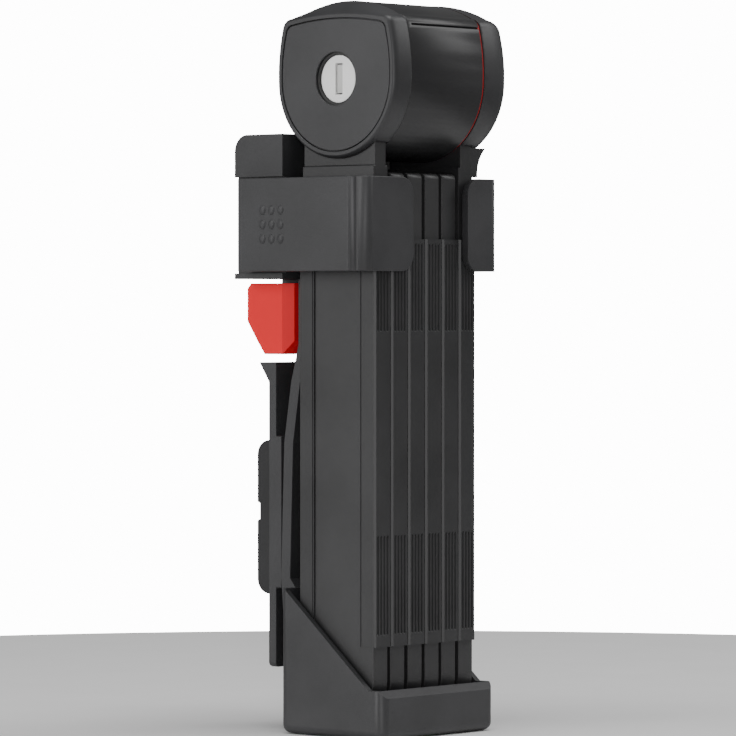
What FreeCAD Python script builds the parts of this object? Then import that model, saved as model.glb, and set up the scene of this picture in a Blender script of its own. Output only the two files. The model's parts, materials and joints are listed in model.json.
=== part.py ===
import FreeCAD, Part
import os
import re
from FreeCAD import Placement, Rotation, Vector

# Folding lock of six steel links, standing in its bicycle-frame holder.
# X runs along the key axis (key side -X), +Y points to the bicycle frame, +Z up.
# The origin is the centre of the holder cup's underside. Millimetres.

doc = FreeCAD.newDocument("folding_lock")
dims = doc.addObject("Spreadsheet::Sheet", "dims")

SIZES = {
    "link_pitch": 7.5, "link_count": 6, "bar_thick": 6.2, "bar_half": 14,
    "low_axis": 16.8, "top_axis": 150.3, "key_axis": 191.6,
    "rail_half": 15, "rail_gap": 0.15, "rail_low": 26.6, "rail_top": 145, "panel_half": 9,
    "ear_thick": 4.8, "ear_out": 21.2, "ear_low": 166.3,
    "rivet_rad": 4, "running": 0.05, "washer_rad": 8, "washer_thick": 1.2,
    "head_near": 23, "head_far": 30.5, "split_near": 16.1, "split_far": 16.4, "slot_out": 21.5,
    "face_rad": 23.3, "shell_rad": 23.6, "crown": 22.9, "face_top": 19.7, "shell_wall": 2.2,
    "accent_low": 15.6, "slot_rad": 14.5, "plate_rim": 2, "plate_thick": 0.9,
    "barrel_rad": 9, "plug_rad": 7, "plug_recess": 1.6, "eye_rad": 7.8, "keyway_wide": 2.8,
    "keyway_tall": 9, "bolt_rad": 5, "bolt_throw": 6, "bolt_low": -1.5, "bolt_tip": 21,
    "cup_half": 25, "cup_front": 20.3, "cup_back": 20.5, "cup_wall": 2, "cup_floor": 2.5,
    "cup_top": 42.5, "cup_lip": 13.6,
    "arm_out": 29.5, "arm_wall": 3.5, "arm_low": 135.6, "arm_top": 163, "arm_front": 17.8,
    "tongue_thick": 2.3, "arm_rear": 33, "near_tip": -8.5, "far_tip": 15.6, "pad_thick": 3,
    "arm_pin_x": 21.8, "arm_pin_y": 30, "arm_pin_rad": 2,
    "house_half": 26, "house_front": 18.2, "house_back": 37.5, "house_low": 133.4, "house_top": 176,
    "house_waist": 24.4,
    "lever_half": 19.5, "lever_front": 21.8, "lever_back": 38.5, "lever_low": 111.2, "lever_top": 132.2,
    "lever_pin_y": 34, "lever_pin_z": 127, "lever_pin_rad": 2,
    "spine_half": 18, "spine_thick": 3.6, "spine_low_y": 22.6, "spine_top_y": 15.6, "spine_bend": 114,
    "rail_plate_half": 18, "plate_front": 28.3, "plate_back": 31.3, "plate_low": 18.5, "plate_high": 108,
    "boss_spacing": 64, "boss_mid": 60, "boss_hole": 2.7, "access_rad": 5.2,
    "pad_low": 40, "pad_high": 85.7, "pad_back": 37, "frame_pad_half": 17,
    "screw_rad": 1.5, "screw_head": 2.8, "guard_out": 28.3, "guard_flare": 172.5, "guard_room": 23.9,
    "groove_y": 21.1, "groove_up": 15.2, "corner_up": 15.8, "shoulder_up": 18.3,
    "crest_round": 1.5, "tongue_round": 5, "pin_top": 170,
}

for row, (alias, number) in enumerate(SIZES.items(), start=1):
    dims.set(f"A{row}", alias)
    dims.set(f"B{row}", str(number))
    dims.setAlias(f"B{row}", alias)
doc.recompute()

parts = {}


def size(alias):
    """Number held by a cell of the sheet."""
    return float(dims.get(alias))


def bound(text):
    """Expression text with every alias pointed at the sheet."""
    return re.sub(r"[a-z_]+", lambda m: "dims." + m[0] if m[0] in SIZES else m[0], str(text))


def place(obj, **at):
    """Bind the object's base point to sheet expressions."""
    for axis, text in at.items():
        obj.setExpression(f"Placement.Base.{axis}", bound(text))


def box(name, x, y, z):
    """Block between two ends along each axis; each end is an expression."""
    obj = doc.addObject("Part::Box", name)
    for prop, (low, high) in zip(("Length", "Width", "Height"), (x, y, z)):
        obj.setExpression(prop, bound(f"({high}) - ({low})"))
    place(obj, x=x[0], y=y[0], z=z[0])
    return obj


def rod(name, axis, radius, span, at):
    """Cylinder along X, Y or Z from span[0] to span[1]; at gives the other two coordinates."""
    obj = doc.addObject("Part::Cylinder", name)
    turns = {"x": Rotation(Vector(0, 1, 0), 90), "y": Rotation(Vector(1, 0, 0), -90), "z": Rotation()}
    obj.Placement = Placement(Vector(), turns[axis])
    obj.setExpression("Radius", bound(radius))
    obj.setExpression("Height", bound(f"({span[1]}) - ({span[0]})"))
    place(obj, **{axis: span[0]}, **dict(zip([a for a in "xyz" if a != axis], at)))
    return obj


def fuse(name, *shapes):
    """Union of objects."""
    obj = doc.addObject("Part::MultiFuse", name)
    obj.Shapes = list(shapes)
    obj.Refine = True
    return obj


def cut(name, base, *tools):
    """Base less every tool."""
    obj = doc.addObject("Part::Cut", name)
    obj.Base = base
    obj.Tool = tools[0] if len(tools) == 1 else fuse(name + "_tools", *tools)
    return obj


def group(name, *solids):
    """Separate identical pieces kept in one node."""
    obj = doc.addObject("Part::Compound", name)
    obj.Links = list(solids)
    return obj


def free(name, shape):
    """Feature whose shape is set directly from sheet sizes."""
    obj = doc.addObject("Part::Feature", name)
    obj.Shape = shape
    return obj


def rounded(name, base, radius, keep):
    """Fillet the edges of base that keep(edge) accepts."""
    doc.recompute()
    obj = doc.addObject("Part::Fillet", name)
    obj.Base = base
    edges = base.Shape.Edges
    obj.Edges = [(i, radius, radius) for i, edge in enumerate(edges, 1) if keep(edge)]
    return obj


def subpart(label, obj):
    """Name a finished piece; the label is its file name."""
    obj.Label = label
    parts[label] = obj
    return obj


def runs(edge, axis):
    """True for a straight edge along the given axis."""
    start, end = edge.Vertexes[0].Point, edge.Vertexes[-1].Point
    step = end - start
    along = abs(getattr(step, axis))
    return edge.Curve.TypeId == "Part::GeomLine" and along > 0.99 * step.Length and along > 0


def level(edge, axis, value):
    """True when the whole edge lies in the plane axis = value."""
    bound_box = edge.BoundBox
    low, high = getattr(bound_box, axis.upper() + "Min"), getattr(bound_box, axis.upper() + "Max")
    return abs(low - value) < 0.01 and abs(high - value) < 0.01


def prism(name, points, x_low, x_high):
    """Polygon in the YZ plane, carried from x_low to x_high."""
    corners = [Vector(x_low, y, z) for y, z in points]
    face = Part.Face(Part.makePolygon(corners + corners[:1]))
    return free(name, face.extrude(Vector(x_high - x_low, 0, 0)))


# ---------------------------------------------------------------- links

def link_start(number):
    """Low X of a link's cell in the stack."""
    return f"(({number} - 1) - link_count / 2) * link_pitch"


def bar_span(number):
    """Low and high X of a link's steel bar."""
    inset = "(link_pitch - bar_thick) / 2"
    start = link_start(number)
    return f"{start} + {inset}", f"{start} + {inset} + bar_thick"


def plain_bar(number, top):
    """Flat bar: round foot about the low axis; the top is an ear or a square end with eased corners."""
    low, high = bar_span(number)
    name = f"bar_{number}"
    foot = rod(name + "_foot", "x", "bar_half", (low, high), ("0", "low_axis"))
    if top == "key_axis":
        body = box(name + "_body", (low, high), ("-bar_half", "bar_half"), ("low_axis", top))
        crest = rod(name + "_crest", "x", "bar_half", (low, high), ("0", top))
        return fuse(name + "_blank", body, foot, crest)
    body = box(name + "_body", (low, high), ("-bar_half", "bar_half"), ("low_axis", f"{top} + bar_half"))
    middle = size("top_axis")
    soft = rounded(name + "_soft", body, size("crest_round"),
                   lambda e: runs(e, "x") and e.BoundBox.ZMin > middle)
    return fuse(name + "_blank", soft, foot)


def pivot_hole(name, number, height, radius):
    """Hole through one link on a pivot axis."""
    low, high = bar_span(number)
    return rod(name, "x", radius, (f"{low} - 1", f"{high} + 1"), ("0", height))


def make_links():
    """Six bars; the outer two carry ears that reach up to the key axis."""
    tight, loose = "rivet_rad", "rivet_rad + running"
    upper = {2: tight, 3: tight, 4: tight, 5: loose}
    lower = {1: tight, 2: tight, 3: tight, 4: loose, 5: loose, 6: tight}
    ear_hole = {1: "barrel_rad + running", 6: "bolt_rad + 0.3"}
    for number in range(1, 7):
        outer = number in (1, 6)
        blank = plain_bar(number, "key_axis" if outer else "top_axis")
        tools = [pivot_hole(f"low_hole_{number}", number, "low_axis", lower[number])]
        if outer:
            tools.append(pivot_hole(f"ear_hole_{number}", number, "key_axis", ear_hole[number]))
            reach = ("-bar_half - 1", "bar_half + 1")
            height = ("ear_low", "key_axis + bar_half + 1")
            inner, outside = ("ear_out - ear_thick", "ear_out")
            if number == 1:
                tools.append(box("ear_trim_1a", (f"-{outside} - 5", f"-{outside}"), reach, height))
                tools.append(box("ear_trim_1b", (f"-({inner})", f"-({inner}) + 5"), reach, height))
            else:
                tools.append(box("ear_trim_6a", (outside, f"{outside} + 5"), reach, height))
                tools.append(box("ear_trim_6b", (f"{inner} - 5", inner), reach, height))
        else:
            tools.append(pivot_hole(f"top_hole_{number}", number, "top_axis", upper[number]))
        subpart(f"link_{number}_bar", cut(f"link_{number}_bar", blank, *tools))


def make_rails():
    """Plastic grips that wrap both long edges of every bar."""
    for number in range(1, 7):
        start = link_start(number)
        span = (f"{start} + rail_gap", f"{start} + link_pitch - rail_gap")
        height = ("rail_low", "rail_top")
        tall = ("rail_low - 1", "rail_top + 1")
        sleeve = box(f"sleeve_{number}", span, ("-rail_half", "rail_half"), height)
        bar_room = box(f"bar_room_{number}", bar_span(number), ("-bar_half", "bar_half"), tall)
        wide = (f"{start} - 1", f"{start} + link_pitch + 1")
        panel = box(f"panel_{number}", wide, ("-panel_half", "panel_half"), tall)
        subpart(f"link_{number}_rails", cut(f"link_{number}_rails", sleeve, bar_room, panel))


def rivet(name, first, height):
    """Rivet through two neighbouring bars, flush with both."""
    return rod(name, "x", "rivet_rad", (bar_span(first)[0], bar_span(first + 1)[1]), ("0", height))


def washer(name, first, height):
    """Spacer between two neighbouring bars."""
    middle = f"{link_start(first)} + link_pitch"
    span = (f"{middle} - washer_thick / 2", f"{middle} + washer_thick / 2")
    disc = rod(name + "_disc", "x", "washer_rad", span, ("0", height))
    hole = rod(name + "_hole", "x", "rivet_rad + running", (f"{middle} - 3", f"{middle} + 3"), ("0", height))
    return cut(name, disc, hole)


def make_rivets():
    """Rivets and spacers of the five link pivots."""
    lower = [rivet(f"lower_rivet_{first}", first, "low_axis") for first in (1, 3, 5)]
    subpart("lower_rivets", group("lower_rivets", *lower))
    subpart("upper_rivet_23", rivet("upper_rivet_23", 2, "top_axis"))
    subpart("upper_rivet_45", rivet("upper_rivet_45", 4, "top_axis"))
    spacers = [washer(f"low_washer_{first}", first, "low_axis") for first in (1, 3, 5)]
    spacers.append(washer("top_washer_2", 2, "top_axis"))
    subpart("rivet_washers", group("rivet_washers", *spacers))
    subpart("washer_45", washer("washer_45", 4, "top_axis"))


def make_guard():
    """Moulded shoulder on link 6 that flares out to meet the head's far cheek."""
    low, flare, top = size("arm_top") + 0.6, size("guard_flare"), size("key_axis") - 16
    step, ear, out = size("link_pitch") * 3 - 0.65, size("ear_out"), size("guard_out")
    half, shelf = size("bar_half"), size("ear_low")
    foot = step + 2.4
    inner = [(out, flare), (out, top), (ear, top), (ear, shelf), (step, shelf), (step, low), (foot, low)]
    curve = Part.Arc(Vector(foot, -half, low), Vector(foot + 0.9, -half, low + 5), Vector(out, -half, flare))
    wire = Part.Wire([curve.toShape()] + Part.makePolygon([Vector(x, -half, z) for x, z in inner]).Edges)
    blank = free("guard_blank", Part.Face(wire).extrude(Vector(0, 2 * half, 0)))
    room = key_bore("guard_room_rod", "guard_room", "ear_out - 1", "guard_out + 3")
    subpart("link_6_guard", cut("link_6_guard", blank, room))


# ---------------------------------------------------------------- head

def head_outline(radius, top, inset, x):
    """Rounded-triangle outline about the key axis: half circle below, bowed top above."""
    z_key = size("key_axis")
    half = radius - inset
    crest = top - inset
    corner_y, corner_z = half * 0.925, size("corner_up") - inset
    shoulder_y, shoulder_z = half * 0.8, size("shoulder_up") - inset
    round_y, round_z = half * 0.885, (corner_z + shoulder_z) / 2 + 0.45

    def at(y, z):
        return Vector(x, y, z_key + z)

    edges = [
        Part.Arc(at(-half, 0), at(0, -half), at(half, 0)),
        Part.Arc(at(half, 0), at(half * 0.985, corner_z * 0.52), at(corner_y, corner_z)),
        Part.Arc(at(corner_y, corner_z), at(round_y, round_z), at(shoulder_y, shoulder_z)),
        Part.Arc(at(shoulder_y, shoulder_z), at(0, crest), at(-shoulder_y, shoulder_z)),
        Part.Arc(at(-shoulder_y, shoulder_z), at(-round_y, round_z), at(-corner_y, corner_z)),
        Part.Arc(at(-corner_y, corner_z), at(-half * 0.985, corner_z * 0.52), at(-half, 0)),
    ]
    return Part.Wire([edge.toShape() for edge in edges])


def head_slice(name, radius, top, inset, x_low, x_high):
    """Solid slice of the head between two X positions."""
    face = Part.Face(head_outline(size(radius), size(top), inset, x_low))
    return free(name, face.extrude(Vector(x_high - x_low, 0, 0)))


def ear_slot(name, x_low, x_high):
    """Room for an ear to turn: round about the key axis, open to the rear and below."""
    span = (x_low, x_high)
    hub = rod(name + "_hub", "x", "slot_rad", span, ("0", "key_axis"))
    below = box(name + "_below", span, ("-slot_rad", "0"), ("key_axis - 40", "key_axis"))
    behind = box(name + "_behind", span, ("0", "40"), ("key_axis - 40", "key_axis + slot_rad"))
    return fuse(name, hub, below, behind)


def key_bore(name, radius, x_low, x_high):
    """Hole or pin on the key axis."""
    return rod(name, "x", radius, (x_low, x_high), ("0", "key_axis"))


def make_head():
    """Core, covers and trim of the lock head."""
    near, far = -size("head_near"), size("head_far")
    split = size("split_near")
    wall = size("shell_wall")
    blank = head_slice("core_blank", "shell_rad", "crown", wall, -split, split)
    barrel_room = key_bore("barrel_room", "barrel_rad", "-split_near - 1", "-8")
    bolt_room = key_bore("bolt_room", "bolt_rad + running", "-9", "split_near + 1")
    screw_room = cheek_screws("core_screw")
    subpart("head_core", cut("head_core", blank, barrel_room, bolt_room, screw_room))

    shell = head_slice("shell_blank", "shell_rad", "crown", 0, -split, size("accent_low"))
    hollow = head_slice("shell_hollow", "shell_rad", "crown", wall, -split - 1, split + 1)
    groove = box("panel_groove", ("-split_near + 2", "split_near"), ("-shell_rad - 3", "-groove_y"),
                 ("key_axis + groove_up", "key_axis + groove_up + 0.4"))
    subpart("head_shell", cut("head_shell", shell, hollow, groove))

    band = head_slice("accent_blank", "shell_rad", "crown", 0.35, size("accent_low"), size("split_far"))
    band_hollow = head_slice("accent_hollow", "shell_rad", "crown", wall, 15, 17)
    subpart("accent_ring", cut("accent_ring", band, band_hollow))

    face_rad, face_top = size("face_rad"), size("face_top")
    shell_rad, crown = size("shell_rad"), size("crown")
    steps = ((near, 0, 1), (near + 0.5, 0.1, 0.45), (near + 1.7, 0.35, 0.1),
             (near + 4, 0.8, 0), (-split, 1, 0))
    sections = [head_outline(face_rad + (shell_rad - face_rad) * share,
                             face_top + (crown - face_top) * share, inset, x) for x, share, inset in steps]
    soft = free("bezel_soft", Part.makeLoft(sections, True))
    rim, depth = size("plate_rim"), size("plate_thick")
    recess = head_slice("plate_room", "face_rad", "face_top", rim, near - 1, near + depth)
    eye = key_bore("eye_room", "barrel_rad", "-30", "-split_near + 1")
    slot = ear_slot("near_slot", "-slot_out", "-split_near + 1")
    subpart("near_bezel", cut("near_bezel", soft, recess, eye, slot))

    plate = head_slice("plate_blank", "face_rad", "face_top", rim + 0.3, near + 0.1, near + depth)
    subpart("key_plate", cut("key_plate", plate, key_bore("plate_eye", "eye_rad", "-30", "-20")))

    rings = ((size("split_far"), 0), (far - 6, 0.4), (far - 2.6, 2.2), (far - 0.7, 6), (far, 11))
    outlines = [head_outline(shell_rad, crown, inset, x) for x, inset in rings]
    dome = free("cheek_dome", Part.makeLoft(outlines, True))
    far_slot = ear_slot("far_slot", "split_near - 1", "slot_out")
    subpart("far_cheek", cut("far_cheek", dome, far_slot, cheek_screws("cheek_room")))
    subpart("cheek_screws", cheek_screws("cheek_screws"))


def cheek_screws(name):
    """Two screws that hold the far cheek to the core."""
    spots = (("-18.6", "key_axis"), ("4", "key_axis + 17.4"))
    span = ("split_near - 8", "split_near + 7")
    rods = [rod(f"{name}_{i}", "x", "screw_rad", span, spot) for i, spot in enumerate(spots)]
    return group(name + "_pair", *rods)


def make_cylinder():
    """Key cylinder, discs, cam, shutter and bolt, all on the key axis."""
    sleeve = key_bore("sleeve", "barrel_rad", "-head_near + plate_thick", "-8")
    sleeve_bore = key_bore("sleeve_bore", "plug_rad + running", "-30", "0")
    subpart("cylinder_housing", cut("cylinder_housing", sleeve, sleeve_bore))

    plug = key_bore("plug", "plug_rad", "-head_near + plug_recess", "-16")
    keyway = box("keyway", ("-30", "-10"), ("-keyway_wide / 2", "keyway_wide / 2"),
                 ("key_axis - keyway_tall / 2", "key_axis + keyway_tall / 2"))
    subpart("key_plug", cut("key_plug", plug, keyway))

    discs = []
    for number in range(3):
        low = -15.8 + 1.5 * number
        disc = key_bore(f"disc_{number}", "plug_rad - 0.2", str(low), str(low + 1.3))
        slit = box(f"disc_slit_{number}", ("-30", "-8"), ("-keyway_wide / 2", "keyway_wide / 2"),
                   ("key_axis - keyway_tall / 2", "key_axis + keyway_tall / 2"))
        discs.append(cut(f"disc_piece_{number}", disc, slit))
    subpart("locking_discs", group("locking_discs", *discs))
    subpart("drive_cam", key_bore("drive_cam", "plug_rad - 0.2", "-11.2", "-8.4"))

    shutter = box("shutter", ("-head_near + plug_recess + 0.5", "-head_near + plug_recess + 1.5"),
                  ("-keyway_wide / 2 + 0.3", "keyway_wide / 2 - 0.3"),
                  ("key_axis - keyway_tall / 2 + 0.3", "key_axis + keyway_tall / 2 - 0.3"))
    subpart("keyway_shutter", shutter)

    subpart("lock_bolt", key_bore("lock_bolt", "bolt_rad", "bolt_low", "bolt_tip"))


# ---------------------------------------------------------------- holder

def make_cup():
    """Foot cup: low at the front, slanted sides, tall at the back."""
    outer = box("cup_outer", ("-cup_half", "cup_half"), ("-cup_front", "cup_back"), ("0", "cup_top"))
    soft = rounded("cup_soft", outer, 3, lambda e: runs(e, "z"))
    foot = rounded("cup_foot", soft, 2.5, lambda e: level(e, "z", 0))
    room = box("cup_room", ("-cup_half + cup_wall", "cup_half - cup_wall"),
               ("-cup_front + 2.3", "cup_back - 2.3"), ("cup_floor", "cup_top + 5"))
    lip, top = size("cup_lip"), size("cup_top")
    brink, above = lip + 0.7, top + 9
    slope = [(-30, lip - 11.1), (-18.2, brink), (-14.5, brink), (18, top - 0.5), (18, above), (-30, above)]
    slant = prism("cup_slant", slope, -40, 40)
    access = rod("cup_access", "y", "access_rad", ("10", "30"), ("0", "boss_mid - boss_spacing / 2"))
    subpart("holder_cup", cut("holder_cup", foot, room, slant, access))


def make_spine():
    """Back plate: behind the cup, then leaning in to the clamp housing."""
    low_y, top_y, thick = size("spine_low_y"), size("spine_top_y"), size("spine_thick")
    bend, base, crown = size("spine_bend"), size("cup_top"), size("house_low")
    half, back = size("spine_half"), size("cup_back")
    upright, lean = (low_y - 1.2, 85), (top_y + 3, 103)
    front = [(back, 20), (back, base), (low_y, base + 2.5), upright, lean, (top_y, bend), (top_y, crown)]
    rear = [(y + thick, z) for y, z in reversed(front[2:])] + [(back + thick, 20)]
    plate = prism("spine_plate", front + rear, -half, half)
    tools = [rod(f"spine_access_{side}", "y", "access_rad", ("10", "27"),
                 ("0", f"boss_mid {side} boss_spacing / 2")) for side in "+-"]
    subpart("holder_spine", cut("holder_spine", plate, *tools, rail_screws("spine_screw")))


def rail_screws(name):
    """Two screws that pull the mount rail to the spine."""
    pieces = []
    for number, height in enumerate(("boss_mid - 9", "boss_mid + 13")):
        at = ("0", height)
        shank = rod(f"{name}_{number}_shank", "y", "screw_rad", ("23.2", "plate_back - 1.8"), at)
        head = rod(f"{name}_{number}_head", "y", "screw_head", ("plate_back - 1.9", "plate_back"), at)
        pieces.append(fuse(f"{name}_{number}", shank, head))
    return group(name + "_set", *pieces)


def make_mount():
    """Rail with two frame-boss holes, its web, screws and the rubber pad."""
    plate = box("mount_plate", ("-rail_plate_half", "rail_plate_half"), ("plate_front", "plate_back"),
                ("plate_low", "plate_high"))
    soft = rounded("mount_plate_soft", plate, 1.5, lambda e: runs(e, "y"))
    web = box("mount_web", ("-rail_plate_half", "rail_plate_half"),
              ("spine_low_y + spine_thick", "plate_front"), ("boss_mid - 18", "boss_mid + 27"))
    front, back, top, half = (size(k) for k in ("plate_front", "plate_back", "plate_high", "rail_plate_half"))
    peak = top + 0.8
    hook = [(front, top - 4), (back, top - 5), (back + 3.9, peak), (front, peak)]
    tail = prism("mount_tail", hook, -half, half)
    holes = [rod(f"boss_hole_{side}", "y", "boss_hole", ("20", "40"),
                 ("0", f"boss_mid {side} boss_spacing / 2")) for side in "+-"]
    body = fuse("mount_body", soft, web, tail)
    subpart("mount_rail", cut("mount_rail", body, *holes, rail_screws("rail_screw")))
    subpart("rail_screws", rail_screws("rail_screws"))

    pad = box("pad_blank", ("-frame_pad_half", "frame_pad_half"), ("plate_back", "pad_back"),
              ("pad_low", "pad_high"))
    pad_soft = rounded("pad_soft", pad, 4.5,
                       lambda e: runs(e, "x") and e.BoundBox.YMin > size("pad_back") - 1)
    groove = box("strap_groove", ("-20", "20"), ("pad_back - 1", "pad_back + 5"), ("62", "67"))
    subpart("frame_pad", cut("frame_pad", pad_soft, groove))


def pin_hole(name, side, radius, low, top):
    """Vertical pin or hole at a clamp arm's pivot; side is -1 or 1."""
    return rod(name, "z", radius, (low, top), (f"{side} * arm_pin_x", "arm_pin_y"))


def make_housing():
    """Clamp housing with waist slots for the arms and a lug for the lever."""
    block = box("house_block", ("-house_half", "house_half"), ("house_front", "house_back"),
                ("house_low", "house_top"))
    back, top = size("house_back"), size("house_top")
    soft = rounded("house_soft", block, 5,
                   lambda e: runs(e, "x") and e.BoundBox.YMin > back - 1 and e.BoundBox.ZMin > top - 1)
    lug = box("house_lug", ("-5", "1"), ("lever_pin_y - 4", "lever_pin_y + 4"),
              ("lever_pin_z - 4", "house_low"))
    tools = []
    for side, span in ((-1, ("-50", "-house_waist")), (1, ("house_waist", "50"))):
        tools.append(box(f"waist_{side + 1}", span, ("0", "50"), ("arm_low - 0.5", "arm_top + 0.5")))
        low, high = sorted((side * 25, side * 16), key=float)
        tools.append(box(f"lug_room_{side + 1}", (str(low), str(high)), ("arm_pin_y - 5", "50"),
                         ("arm_low + 3.5", "arm_top - 3.5")))
        tools.append(pin_hole(f"house_pin_hole_{side + 1}", side, "arm_pin_rad", "house_low - 1", "pin_top"))
    tools.append(rod("lug_hole", "x", "lever_pin_rad + running", ("-20", "20"),
                     ("lever_pin_y", "lever_pin_z")))
    tools.append(housing_screws("house_screw"))
    subpart("clamp_housing", cut("clamp_housing", fuse("house_body", soft, lug), *tools))
    pins = [pin_hole(f"arm_pin_{side + 1}", side, "arm_pin_rad", "house_low", "pin_top") for side in (-1, 1)]
    subpart("arm_pins", group("arm_pins", *pins))
    subpart("housing_screws", housing_screws("housing_screws"))


def housing_screws(name):
    """Two screws from the spine side into the housing."""
    rods = [rod(f"{name}_{i}", "y", "screw_rad", ("house_front", "house_front + 12"), (x, "arm_top + 6"))
            for i, x in enumerate(("-10", "10"))]
    return group(name + "_pair", *rods)


def make_arm(name, side, tip):
    """Clamp arm: side wall, tongue across the front, pivot lug at the rear."""
    outer = sorted((side * size("arm_out"), tip))
    wall_in = side * (size("arm_out") - size("arm_wall"))
    blank = box(name + "_blank", (str(outer[0]), str(outer[1])), ("-arm_front", "arm_rear"),
                ("arm_low", "arm_top"))
    soft = rounded(name + "_soft", blank, 3, lambda e: runs(e, "z") and abs(e.BoundBox.XMin) > 25
                   and e.BoundBox.YMin < 0)
    edge = rounded(name + "_edge", soft, size("tongue_round"), lambda e: runs(e, "y") and level(e, "x", tip))
    room_x = sorted((wall_in, -side * 60))
    room = box(name + "_room", (str(room_x[0]), str(room_x[1])), ("-arm_front + tongue_thick", "60"),
               ("arm_low - 1", "arm_top + 1"))
    lug_x = sorted((wall_in + side * 0.5, side * (size("arm_pin_x") - 3.4)))
    lug = box(name + "_lug", (str(lug_x[0]), str(lug_x[1])), ("arm_pin_y - 3.4", "arm_rear"),
              ("arm_low + 5", "arm_top - 5"))
    dip = rod(name + "_dip", "z", "2.2", ("arm_low - 1", "arm_top + 1"),
              (f"{side} * (arm_out + 1.6)", "-12.5"))
    shaped = cut(name + "_shaped", edge, room, dip)
    pivot = pin_hole(name + "_pivot", side, "arm_pin_rad + running", "arm_low - 5", "arm_top + 5")
    subpart(name, cut(name, fuse(name + "_joined", shaped, lug), pivot))
    pad_x = sorted((wall_in, wall_in - side * size("pad_thick")))
    pad = box(name + "_pad", (str(pad_x[0]), str(pad_x[1])), ("-13", "14"), ("arm_low + 2", "arm_top - 2"))
    subpart(name.replace("arm", "pad"), pad)


def make_lever():
    """Red release lever under the housing, with pin and torsion spring."""
    front, back, low, top = (size(k) for k in ("lever_front", "lever_back", "lever_low", "lever_top"))
    half = size("lever_half")
    line = [(front + 2.5, low), (back - 7, low), (back - 4.2, low + 3.7), (back, low + 9.8),
            (back, top - 1.5), (back - 1.5, top), (front, top), (front, low + 4)]
    body = prism("lever_body", line, -half, half)
    soft = doc.addObject("Part::Chamfer", "lever_soft")
    doc.recompute()
    soft.Base = body
    soft.Edges = [(i, 2.6, 2.6) for i, edge in enumerate(body.Shape.Edges, 1)
                  if runs(edge, "z") and level(edge, "y", front)]
    room = box("lever_room", ("-5.6", "5.6"), ("lever_pin_y - 8", "lever_back + 5"),
               ("lever_pin_z - 7", "lever_top + 5"))
    hole = rod("lever_hole", "x", "lever_pin_rad", ("-lever_half + 3", "lever_half - 3"),
               ("lever_pin_y", "lever_pin_z"))
    subpart("release_lever", cut("release_lever", soft, room, hole))
    subpart("lever_pin", rod("lever_pin", "x", "lever_pin_rad", ("-lever_half + 3.1", "lever_half - 3.1"),
                             ("lever_pin_y", "lever_pin_z")))
    coils = []
    for number in range(3):
        coil = doc.addObject("Part::Torus", f"coil_{number}")
        coil.Radius1 = 2.9
        coil.Radius2 = 0.45
        coil.Placement = Placement(Vector(), Rotation(Vector(0, 1, 0), 90))
        place(coil, x=str(2.2 + 1.1 * number), y="lever_pin_y", z="lever_pin_z")
        coils.append(coil)
    subpart("lever_spring", group("lever_spring", *coils))


make_links()
make_rails()
make_rivets()
make_guard()
make_head()
make_cylinder()
make_cup()
make_spine()
make_mount()
make_housing()
make_arm("arm_near", -1, size("near_tip"))
make_arm("arm_far", 1, size("far_tip"))
make_lever()
doc.recompute()

for obj in doc.Objects:
    if "Invalid" in obj.State or "Error" in obj.State:
        raise RuntimeError(f"{obj.Label} failed: {obj.State}")
for label, obj in parts.items():
    if obj.Shape.isNull() or not obj.Shape.isValid() or not obj.Shape.Solids:
        raise RuntimeError(f"{label} has no valid solid")

os.makedirs("parts", exist_ok=True)
for label, obj in parts.items():
    obj.Shape.exportStep(f"parts/{label}.step")
print(len(parts), "pieces written")
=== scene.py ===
import json
import math

import bmesh
import bpy
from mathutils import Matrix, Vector

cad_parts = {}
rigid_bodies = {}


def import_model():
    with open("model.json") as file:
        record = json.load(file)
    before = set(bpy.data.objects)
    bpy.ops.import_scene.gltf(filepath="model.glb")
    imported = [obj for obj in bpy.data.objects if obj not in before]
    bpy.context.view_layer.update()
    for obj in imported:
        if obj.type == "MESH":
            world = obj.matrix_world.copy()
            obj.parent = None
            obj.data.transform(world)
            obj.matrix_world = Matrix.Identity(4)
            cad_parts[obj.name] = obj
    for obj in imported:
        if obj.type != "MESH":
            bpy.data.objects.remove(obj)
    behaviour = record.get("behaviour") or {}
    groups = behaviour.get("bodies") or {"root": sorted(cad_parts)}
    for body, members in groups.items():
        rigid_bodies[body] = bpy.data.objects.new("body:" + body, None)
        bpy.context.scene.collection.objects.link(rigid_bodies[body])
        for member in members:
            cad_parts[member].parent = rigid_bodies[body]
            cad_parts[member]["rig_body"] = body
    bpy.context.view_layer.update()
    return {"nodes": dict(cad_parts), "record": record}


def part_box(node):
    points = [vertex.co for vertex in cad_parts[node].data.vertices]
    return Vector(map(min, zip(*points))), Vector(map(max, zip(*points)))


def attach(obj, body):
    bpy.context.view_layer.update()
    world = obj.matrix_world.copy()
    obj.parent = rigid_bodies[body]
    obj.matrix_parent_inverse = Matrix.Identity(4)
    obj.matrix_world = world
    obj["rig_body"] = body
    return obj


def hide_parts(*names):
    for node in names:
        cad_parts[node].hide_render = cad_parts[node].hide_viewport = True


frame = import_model()
NODES = frame["nodes"]
MM = 0.001

# Studio
VIEW_AZIMUTH = -48
VIEW_ELEVATION = 0.8
VIEW_DISTANCE = 1.35
VIEW_TARGET = Vector((-0.0039, 0.0043, 0.1072))
LENS = 224
SENSOR = 36
AMBIENT = 0.18
BACKDROP = 14.0
FLOOR_RADIUS = 0.42
FLOOR_DROP = 0.0002

# Finish: size of the colour patches, how far roughness wanders, depth of the grain
PATCH_SCALE = 38.0
PATCH_EDGES = (0.3, 0.7)
ROUGH_LOWER = 0.05
ROUGH_UPPER = 0.07
ROUGH_LEAST = 0.03
GRAIN_DEPTH = 0.05 * MM


# ---------------------------------------------------------------- materials

def socket(shader, name, value):
    """Set one constant socket of a shader."""
    shader.inputs[name].default_value = value


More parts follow.
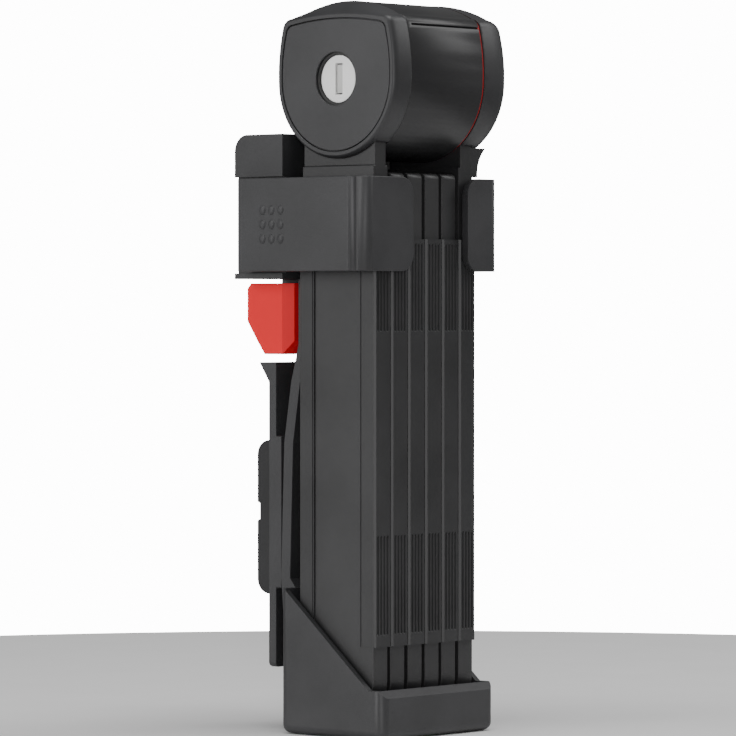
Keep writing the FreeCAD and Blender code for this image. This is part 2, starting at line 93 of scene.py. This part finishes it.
def node(tree, kind, **values):
    """New shader node with attributes or input values set."""
    made = tree.nodes.new(kind)
    for name, value in values.items():
        label = name.replace("_", " ").title()
        if label in made.inputs:
            made.inputs[label].default_value = value
        else:
            setattr(made, name, value)
    return made


def finish_material(name, colour, rough, grain=0.25, grain_size=0.4, vary=0.25, metal=0.0,
                    specular=0.5, streak=None):
    """Moulded or metal finish: fine grain bump, soft colour and gloss variation, optional brushed streaks.

    grain_size is the size of the grain in millimetres; streak stretches the pattern along one axis."""
    material = bpy.data.materials.new(name)
    material.use_nodes = True
    tree = material.node_tree
    shader = tree.nodes["Principled BSDF"]
    socket(shader, "Metallic", metal)
    socket(shader, "Specular IOR Level", specular)
    place = node(tree, "ShaderNodeTexCoord")
    mapping = node(tree, "ShaderNodeMapping")
    if streak:
        mapping.inputs["Scale"].default_value = streak
    tree.links.new(place.outputs["Object"], mapping.inputs["Vector"])

    patches = node(tree, "ShaderNodeTexNoise", scale=PATCH_SCALE, detail=4.0)
    tree.links.new(mapping.outputs["Vector"], patches.inputs["Vector"])
    tint = node(tree, "ShaderNodeValToRGB")
    dark = [channel * (1 - vary) for channel in colour] + [1]
    light = [min(1, channel * (1 + vary)) for channel in colour] + [1]
    for stop, edge, shade in zip(tint.color_ramp.elements, PATCH_EDGES, (dark, light)):
        stop.position = edge
        stop.color = shade
    tree.links.new(patches.outputs["Fac"], tint.inputs["Fac"])
    tree.links.new(tint.outputs["Color"], shader.inputs["Base Color"])

    gloss = node(tree, "ShaderNodeMapRange")
    gloss.inputs["To Min"].default_value = max(ROUGH_LEAST, rough - ROUGH_LOWER)
    gloss.inputs["To Max"].default_value = min(1, rough + ROUGH_UPPER)
    tree.links.new(patches.outputs["Fac"], gloss.inputs["Value"])
    tree.links.new(gloss.outputs["Result"], shader.inputs["Roughness"])

    speck = node(tree, "ShaderNodeTexNoise", scale=1 / (grain_size * MM), detail=3.0)
    tree.links.new(mapping.outputs["Vector"], speck.inputs["Vector"])
    bump = node(tree, "ShaderNodeBump", strength=grain, distance=GRAIN_DEPTH)
    tree.links.new(speck.outputs["Fac"], bump.inputs["Height"])
    tree.links.new(bump.outputs["Normal"], shader.inputs["Normal"])
    return material


MATERIALS = {
    "coated_steel": finish_material("coated_steel", (0.030, 0.030, 0.031), 0.42, 0.25, 0.35),
    "grip_plastic": finish_material("grip_plastic", (0.026, 0.026, 0.027), 0.40, 0.2, 0.3),
    "pin_steel": finish_material("pin_steel", (0.55, 0.55, 0.56), 0.32, 0.3, 0.3, metal=1, streak=(1, 6, 6)),
    "washer_plastic": finish_material("washer_plastic", (0.03, 0.03, 0.03), 0.5),
    "nickel": finish_material("nickel", (0.97, 0.97, 0.96), 0.3, 0.2, 0.25, 0.02, metal=0.15),
    "shutter_dark": finish_material("shutter_dark", (0.5, 0.5, 0.49), 0.4, metal=0.6),
    "rubber": finish_material("rubber", (0.022, 0.022, 0.023), 0.72, 0.6, 0.5),
    "lever_red": finish_material("lever_red", (1.0, 0.010, 0.016), 0.5, 0.15, 0.4, 0.03, specular=0.35),
    "accent_red": finish_material("accent_red", (0.45, 0.012, 0.014), 0.4, 0.15, 0.4, 0.1),
    "head_gloss": finish_material("head_gloss", (0.020, 0.020, 0.021), 0.36, 0.08, 0.3, 0.1),
    "head_satin": finish_material("head_satin", (0.034, 0.034, 0.036), 0.40, 0.3, 0.3),
    "head_metal": finish_material("head_metal", (0.02, 0.02, 0.02), 0.5),
    "holder_plastic": finish_material("holder_plastic", (0.034, 0.034, 0.036), 0.44, 0.45, 0.4),
}

SLOTS = {row["node"]: row["material_slot"] for row in frame["record"]["subparts"]}


# ---------------------------------------------------------------- mesh helpers

def new_piece(name, mesh, slot, body):
    """Finished mesh becomes a visible piece with the slot's material and a body."""
    piece = bpy.data.objects.new(name, mesh)
    bpy.context.scene.collection.objects.link(piece)
    mesh.materials.append(MATERIALS[slot])
    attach(piece, body)
    return piece


def loft(name, rings):
    """Closed mesh through equal-length rings of points, in millimetres, capped at both ends."""
    mesh = bpy.data.meshes.new(name)
    work = bmesh.new()
    rows = [[work.verts.new(Vector(point) * MM) for point in ring] for ring in rings]
    count = len(rows[0])
    for low, high in zip(rows, rows[1:]):
        for i in range(count):
            j = (i + 1) % count
            work.faces.new((low[i], low[j], high[j], high[i]))
    work.faces.new(list(reversed(rows[0])))
    work.faces.new(rows[-1])
    bmesh.ops.recalc_face_normals(work, faces=work.faces)
    work.to_mesh(mesh)
    work.free()
    return mesh


WELD_GAP = 0.002 * MM
FLAT_ANGLE = math.radians(0.6)
EDGE_ANGLE = math.radians(32)


def soften(piece, width):
    """Rounded edges on a hard-edged mesh: weld, merge flat faces, bevel."""
    weld = piece.modifiers.new("weld", "WELD")
    weld.merge_threshold = WELD_GAP
    flat = piece.modifiers.new("flat", "DECIMATE")
    flat.decimate_type = "DISSOLVE"
    flat.angle_limit = FLAT_ANGLE
    bevel = piece.modifiers.new("edge", "BEVEL")
    bevel.width = width * MM
    bevel.segments = 2
    bevel.limit_method = "ANGLE"
    bevel.angle_limit = EDGE_ANGLE
    bevel.harden_normals = True


# Edge radius of each CAD piece, in millimetres
BAR_EDGE = 0.45
EDGE = {
    "holder_cup": 0.7, "arm_near": 0.5, "arm_far": 0.5, "clamp_housing": 0.6, "mount_rail": 0.4,
    "holder_spine": 0.6, "frame_pad": 0.6, "release_lever": 0.5, "near_bezel": 0.25, "key_plate": 0.2,
    "head_shell": 0.35, "far_cheek": 0.3, "accent_ring": 0.15, "key_plug": 0.25, "link_6_guard": 0.3,
    "cylinder_housing": 0.2, "keyway_shutter": 0.15, "pad_near": 0.4, "pad_far": 0.4,
}
for name, cad in NODES.items():
    material = MATERIALS[SLOTS[name]]
    cad.data.materials.clear()
    cad.data.materials.append(material)
    if name in EDGE:
        soften(cad, EDGE[name])
    elif name.endswith("_bar"):
        soften(cad, BAR_EDGE)


# ---------------------------------------------------------------- grooved grips

GROOVE_ZONES = ((30.0, 59.0), (118.0, 143.8))
GROOVE_DEPTH = 0.45
GROOVE_COUNT = 4
GROOVE_PROFILE = ((0.1, 0), (0.25, 1), (0.55, 1), (0.7, 0))
GROOVE_RUNOUT = 0.5
GRIP_EDGE = 15.0
GRIP_SEAT = 14.0
GRIP_LIP = 9.0
GRIP_CHAMFER = 0.55
END_LEVEL = 0.3
SEAM_SHARES = (0.3, 0.5, 0.7)
SEAM_DEPTH = 0.35
GROOVE_MARGIN = 0.35
OUTER_BAR_HALF = 3.1


def grip_ring(box_low, box_high, bar_low, bar_high, side, z, depth):
    """C-shaped section of one grip; depth is how deep its outer grooves are here."""
    x0, x1 = box_low[0], box_high[0]
    b0, b1 = bar_low[0], bar_high[0]
    edge, seat, lip = side * GRIP_EDGE, side * GRIP_SEAT, side * GRIP_LIP
    seam_start, seam_low, seam_end = (lip + side * share for share in SEAM_SHARES)
    near_seam = [(x0, lip), (x0, seam_start), (x0 + SEAM_DEPTH, seam_low), (x0, seam_end)]
    far_seam = [(x1, seam_end), (x1 - SEAM_DEPTH, seam_low), (x1, seam_start), (x1, lip)]
    ring = near_seam + [(x0, edge - side * GRIP_CHAMFER), (x0 + GRIP_CHAMFER, edge)]
    start, end = x0 + GRIP_CHAMFER + GROOVE_MARGIN, x1 - GRIP_CHAMFER - GROOVE_MARGIN
    pitch = (end - start) / GROOVE_COUNT
    for i in range(GROOVE_COUNT):
        at = start + pitch * i
        for share, sunk in GROOVE_PROFILE:
            ring.append((at + pitch * share, edge - side * depth * sunk))
    ring += [(x1 - GRIP_CHAMFER, edge), (x1, edge - side * GRIP_CHAMFER)] + far_seam
    ring += [(b1, lip), (b1, seat), (b0, seat), (b0, lip)]
    return [(x, y, z) for x, y in ring]


def make_grips():
    """Two grips for every link, with fine grooves on the outer edge near both ends."""
    for number in range(1, 7):
        cad, bar = f"link_{number}_rails", f"link_{number}_bar"
        low, high = ([c / MM for c in corner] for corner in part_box(cad))
        bar_low, bar_high = ([c / MM for c in corner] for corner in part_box(bar))
        if number in (1, 6):
            middle = (low[0] + high[0]) / 2
            bar_low[0], bar_high[0] = middle - OUTER_BAR_HALF, middle + OUTER_BAR_HALF
        levels = [(low[2], 0), (low[2] + END_LEVEL, 0)]
        for start, end in GROOVE_ZONES:
            levels += [(start, 0), (start + GROOVE_RUNOUT, 1), (end - GROOVE_RUNOUT, 1), (end, 0)]
        levels += [(high[2] - END_LEVEL, 0), (high[2], 0)]
        for side, word in ((-1, "front"), (1, "rear")):
            rings = [grip_ring(low, high, bar_low, bar_high, side, z, GROOVE_DEPTH * on) for z, on in levels]
            mesh = loft(f"grip_{number}_{word}", rings)
            new_piece(f"grip_{number}_{word}", mesh, "grip_plastic", NODES[cad]["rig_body"])
        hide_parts(cad)


make_grips()


# ---------------------------------------------------------------- small raised detail

DOT_PROFILE = ((1.0, -0.15), (1.0, 0.0), (0.86, 0.6), (0.6, 0.92), (0.25, 1.0))
DOT_SIDES = 14
DOT_WIDE = 1.25
DOT_TALL = 1.45
DOT_RISE = 0.4
DOT_STEP_Y = 3.6
DOT_STEP_Z = 4.2
DOTS_MIDDLE_Y = 19.3
ACROSS, UP, OUT = Vector((0, -1, 0)), Vector((0, 0, 1)), Vector((-1, 0, 0))


def raise_dot(work, centre):
    """Low raised dot on the arm's outer wall: rings that shrink as they rise."""
    rows = []
    for share, rise in DOT_PROFILE:
        row = []
        for i in range(DOT_SIDES):
            angle = 2 * math.pi * i / DOT_SIDES
            flat = ACROSS * (math.cos(angle) * DOT_WIDE * share) + UP * (math.sin(angle) * DOT_TALL * share)
            row.append(work.verts.new((centre + flat + OUT * (rise * DOT_RISE)) * MM))
        rows.append(row)
    for low, high in zip(rows, rows[1:]):
        for i in range(DOT_SIDES):
            j = (i + 1) % DOT_SIDES
            work.faces.new((low[i], low[j], high[j], high[i]))
    work.faces.new(rows[-1])
    work.faces.new(list(reversed(rows[0])))


def make_arm_dots():
    """Grid of nine raised dots on the near clamp arm."""
    low, high = (Vector(corner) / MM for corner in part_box("arm_near"))
    mesh = bpy.data.meshes.new("arm_dots")
    work = bmesh.new()
    centre = Vector((low.x, DOTS_MIDDLE_Y, (low.z + high.z) / 2))
    for row in range(3):
        for column in range(3):
            spot = centre + Vector((0, DOT_STEP_Y * (column - 1), DOT_STEP_Z * (row - 1)))
            raise_dot(work, spot)
    bmesh.ops.recalc_face_normals(work, faces=work.faces)
    work.to_mesh(mesh)
    work.free()
    new_piece("arm_dots", mesh, "holder_plastic", "near_arm")


make_arm_dots()


# ---------------------------------------------------------------- studio

FLOOR_SIDES = 96


def make_floor():
    """Pale round floor with the faintest mottling."""
    mesh = bpy.data.meshes.new("floor")
    work = bmesh.new()
    rim = []
    for i in range(FLOOR_SIDES):
        turn = 2 * math.pi * i / FLOOR_SIDES
        rim.append(work.verts.new((FLOOR_RADIUS * math.cos(turn), FLOOR_RADIUS * math.sin(turn), -FLOOR_DROP)))
    work.faces.new(rim)
    work.to_mesh(mesh)
    work.free()
    floor = bpy.data.objects.new("floor", mesh)
    bpy.context.scene.collection.objects.link(floor)
    mesh.materials.append(finish_material("floor_paint", (0.86, 0.86, 0.86), 0.85, 0.05, 3.0, 0.01))


def area_light(name, at, aim, power, wide, tall):
    """Soft rectangular light that points at a spot."""
    data = bpy.data.lights.new(name, "AREA")
    data.shape = "RECTANGLE"
    data.energy = power
    data.size = wide
    data.size_y = tall
    light = bpy.data.objects.new(name, data)
    bpy.context.scene.collection.objects.link(light)
    light.location = at
    light.rotation_euler = (Vector(aim) - Vector(at)).to_track_quat("-Z", "Y").to_euler()


def make_world():
    """White surroundings: bright where the camera sees them, dim as a source of light."""
    world = bpy.data.worlds.new("studio")
    bpy.context.scene.world = world
    world.use_nodes = True
    tree = world.node_tree
    ambient = tree.nodes["Background"]
    ambient.inputs["Color"].default_value = (1, 1, 1, 1)
    ambient.inputs["Strength"].default_value = AMBIENT
    backdrop = node(tree, "ShaderNodeBackground", color=(1, 1, 1, 1), strength=BACKDROP)
    path = node(tree, "ShaderNodeLightPath")
    mix = node(tree, "ShaderNodeMixShader")
    tree.links.new(path.outputs["Is Camera Ray"], mix.inputs["Fac"])
    tree.links.new(ambient.outputs["Background"], mix.inputs[1])
    tree.links.new(backdrop.outputs["Background"], mix.inputs[2])
    tree.links.new(mix.outputs["Shader"], tree.nodes["World Output"].inputs["Surface"])


LIGHTS = (
    # name, place, spot it points at, watts, width, height
    ("key_side", (-1.35, 0.55, 0.5), (0, 0, 0.12), 11, 1.0, 1.0),
    ("overhead", (-0.15, -0.25, 1.2), (0, 0, 0.2), 8, 0.9, 0.4),
    ("edge_light", (-1.25, -1.15, 0.2), (0, 0, 0.12), 6.5, 0.12, 0.7),
    ("far_side", (0.95, -0.75, 0.95), (0, 0, 0.18), 7, 0.8, 0.8),
)


def make_camera():
    """Long-lens camera, low on the key side of the lock."""
    data = bpy.data.cameras.new("camera")
    data.lens = LENS
    data.sensor_width = SENSOR
    data.clip_end = 100
    camera = bpy.data.objects.new("camera", data)
    bpy.context.scene.collection.objects.link(camera)
    azimuth, elevation = math.radians(VIEW_AZIMUTH), math.radians(VIEW_ELEVATION)
    flat = math.cos(elevation)
    away = Vector((math.sin(azimuth) * flat, -math.cos(azimuth) * flat, math.sin(elevation)))
    camera.location = VIEW_TARGET + away * VIEW_DISTANCE
    camera.rotation_euler = (-away).to_track_quat("-Z", "Y").to_euler()
    bpy.context.scene.camera = camera


make_world()
make_floor()
for row in LIGHTS:
    area_light(*row)
make_camera()
